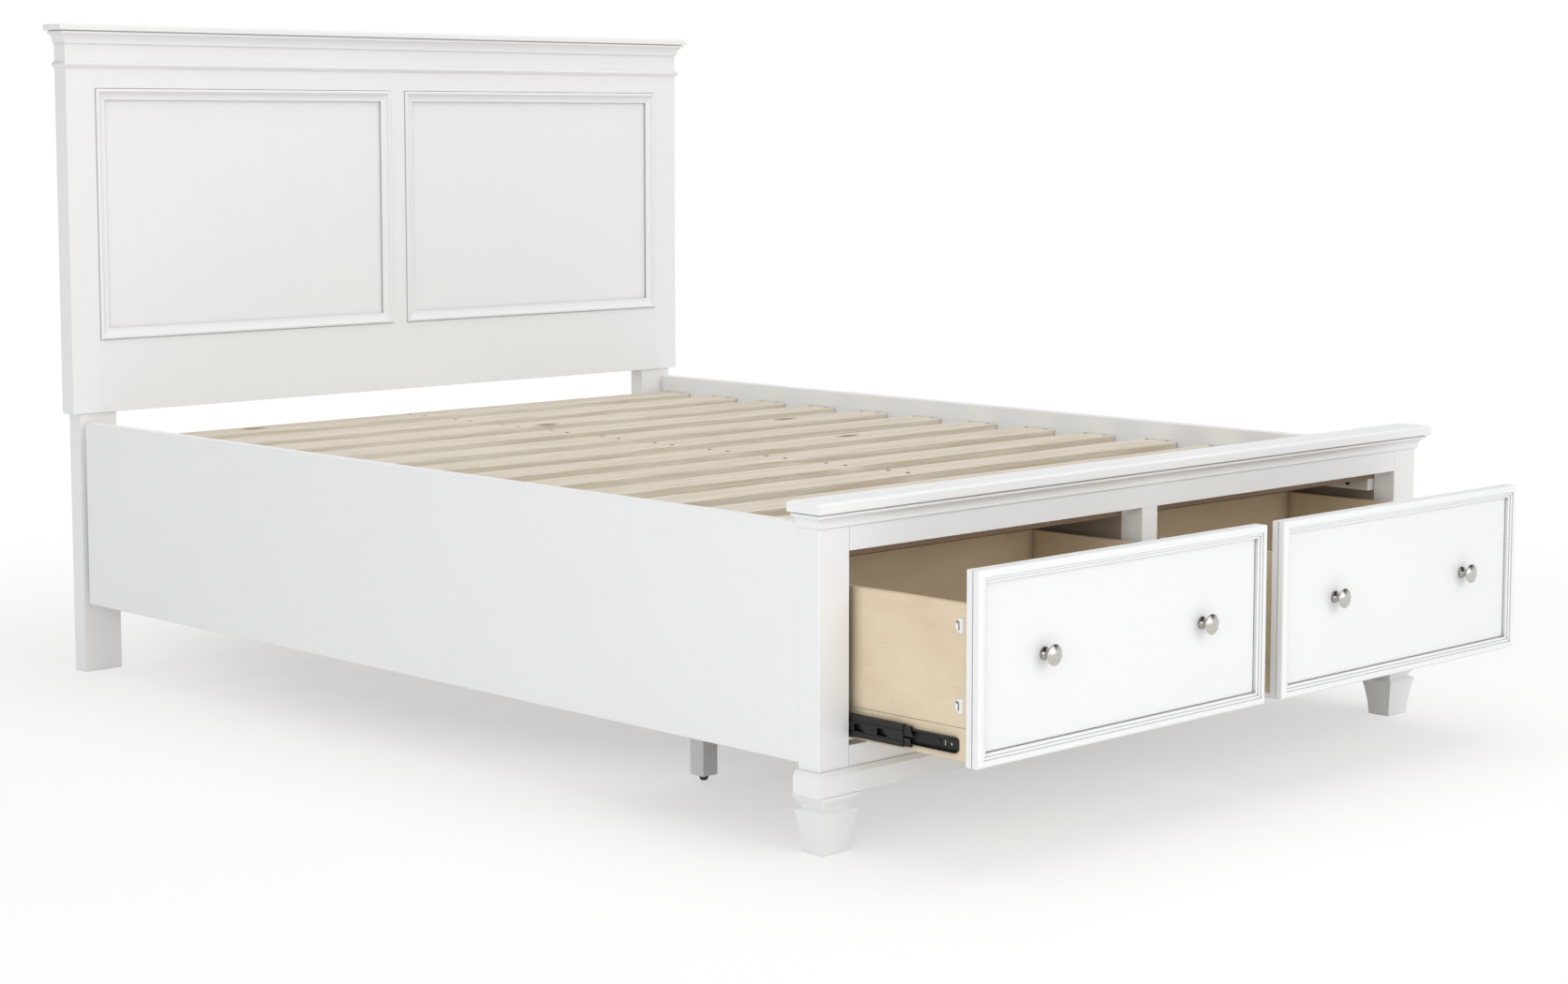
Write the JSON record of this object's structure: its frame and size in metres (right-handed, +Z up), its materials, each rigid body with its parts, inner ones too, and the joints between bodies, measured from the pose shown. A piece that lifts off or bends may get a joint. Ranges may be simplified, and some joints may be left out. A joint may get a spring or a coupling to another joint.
{
  "type": "storage panel bed frame",
  "caption": "Painted wooden panel bed frame: moulded headboard, tall side rails, slatted deck and a footboard with inset drawers on ball-bearing slides.",
  "frame": {"origin": "on the floor under the middle of the bed's box, with the drawers open as pictured", "axes": "+X across the bed, +Y from the footboard to the headboard, +Z up"},
  "size_m": [1.706, 2.468, 1.332],
  "materials": {
    "satin_white_paint": "smooth satin white paint",
    "birch_plywood": "clear-coated birch plywood",
    "brown_hardboard": "smooth pressed hardboard",
    "raw_fibreboard": "unfinished fibreboard",
    "slat_pine": "planed pine, unfinished",
    "black_slide_steel": "black e-coated rolled steel",
    "zinc_bracket_steel": "zinc-plated steel",
    "satin_nickel": "satin nickel",
    "white_clip_plastic": "moulded white plastic",
    "black_glide_plastic": "moulded black plastic"
  },
  "bodies": {
    "bed_frame": {"beam_hanger": "zinc_bracket_steel", "cabinet_back_board": "birch_plywood", "cabinet_dust_panel": "brown_hardboard", "cabinet_partition": "raw_fibreboard", "cabinet_side_left": "raw_fibreboard", "cabinet_side_right": "raw_fibreboard", "centre_beam": "slat_pine", "centre_legs": "slat_pine", "footboard_base_moulding": "satin_white_paint", "footboard_bed_moulding": "satin_white_paint", "footboard_bottom_rail": "satin_white_paint", "footboard_cap": "satin_white_paint", "footboard_centre_stile": "satin_white_paint", "footboard_foot_left": "satin_white_paint", "footboard_foot_right": "satin_white_paint", "footboard_post_left": "satin_white_paint", "footboard_post_right": "satin_white_paint", "footboard_top_rail": "satin_white_paint", "frame_bolts": "zinc_bracket_steel", "headboard_back_panel": "satin_white_paint", "headboard_bead": "satin_white_paint", "headboard_bottom_rail": "satin_white_paint", "headboard_crown_cap": "satin_white_paint", "headboard_crown_moulding": "satin_white_paint", "headboard_leg_left": "satin_white_paint", "headboard_leg_right": "satin_white_paint", "headboard_mullion": "satin_white_paint", "headboard_panel_mouldings": "satin_white_paint", "headboard_panels": "satin_white_paint", "headboard_stile_left": "satin_white_paint", "headboard_stile_right": "satin_white_paint", "headboard_top_rail": "satin_white_paint", "left_cabinet_slides": "black_slide_steel", "rail_brackets": "zinc_bracket_steel", "rear_legs": "satin_white_paint", "right_cabinet_slides": "black_slide_steel", "side_rail_left": "satin_white_paint", "side_rail_right": "satin_white_paint", "slat_cleats": "satin_white_paint", "slats": "slat_pine"},
    "left_drawer": {"left_drawer_front_plate": "satin_white_paint", "left_drawer_front_moulding": "satin_white_paint", "left_drawer_box": "birch_plywood", "left_drawer_bottom": "birch_plywood", "left_drawer_knobs": "satin_nickel", "left_drawer_clips": "white_clip_plastic", "left_drawer_slides": "black_slide_steel"},
    "left_runners": {"left_runner_members": "black_slide_steel"},
    "right_drawer": {"right_drawer_front_plate": "satin_white_paint", "right_drawer_front_moulding": "satin_white_paint", "right_drawer_box": "birch_plywood", "right_drawer_bottom": "birch_plywood", "right_drawer_knobs": "satin_nickel", "right_drawer_clips": "white_clip_plastic", "right_drawer_slides": "black_slide_steel"},
    "right_runners": {"right_runner_members": "black_slide_steel"},
    "rear_glide_left": {"rear_glide_left": "black_glide_plastic"},
    "rear_glide_right": {"rear_glide_right": "black_glide_plastic"},
    "centre_glide_near": {"centre_glide_near": "black_glide_plastic"},
    "centre_glide_far": {"centre_glide_far": "black_glide_plastic"}
  },
  "joints": [
    {"name": "left_drawer_slide", "type": "slide", "parent": "bed_frame", "child": "left_drawer", "axis": [0, -1, 0], "range_m": [-0.268, 0.162]},
    {"name": "left_runner_slide", "type": "slide", "parent": "bed_frame", "child": "left_runners", "axis": [0, -1, 0], "range_m": [-0.161, 0.0975]},
    {"name": "right_drawer_slide", "type": "slide", "parent": "bed_frame", "child": "right_drawer", "axis": [0, -1, 0], "range_m": [-0.268, 0.162]},
    {"name": "right_runner_slide", "type": "slide", "parent": "bed_frame", "child": "right_runners", "axis": [0, -1, 0], "range_m": [-0.161, 0.0975]},
    {"name": "rear_glide_left_screw", "type": "slide", "parent": "bed_frame", "child": "rear_glide_left", "axis": [0, 0, -1], "range_m": [0, 0.012]},
    {"name": "rear_glide_right_screw", "type": "slide", "parent": "bed_frame", "child": "rear_glide_right", "axis": [0, 0, -1], "range_m": [0, 0.012]},
    {"name": "centre_glide_near_screw", "type": "slide", "parent": "bed_frame", "child": "centre_glide_near", "axis": [0, 0, -1], "range_m": [0, 0.012]},
    {"name": "centre_glide_far_screw", "type": "slide", "parent": "bed_frame", "child": "centre_glide_far", "axis": [0, 0, -1], "range_m": [0, 0.012]}
  ],
  "couplings": [
    {"joint": "left_runner_slide", "follows": "left_drawer_slide", "ratio": 0.6},
    {"joint": "right_runner_slide", "follows": "right_drawer_slide", "ratio": 0.6}
  ]
}
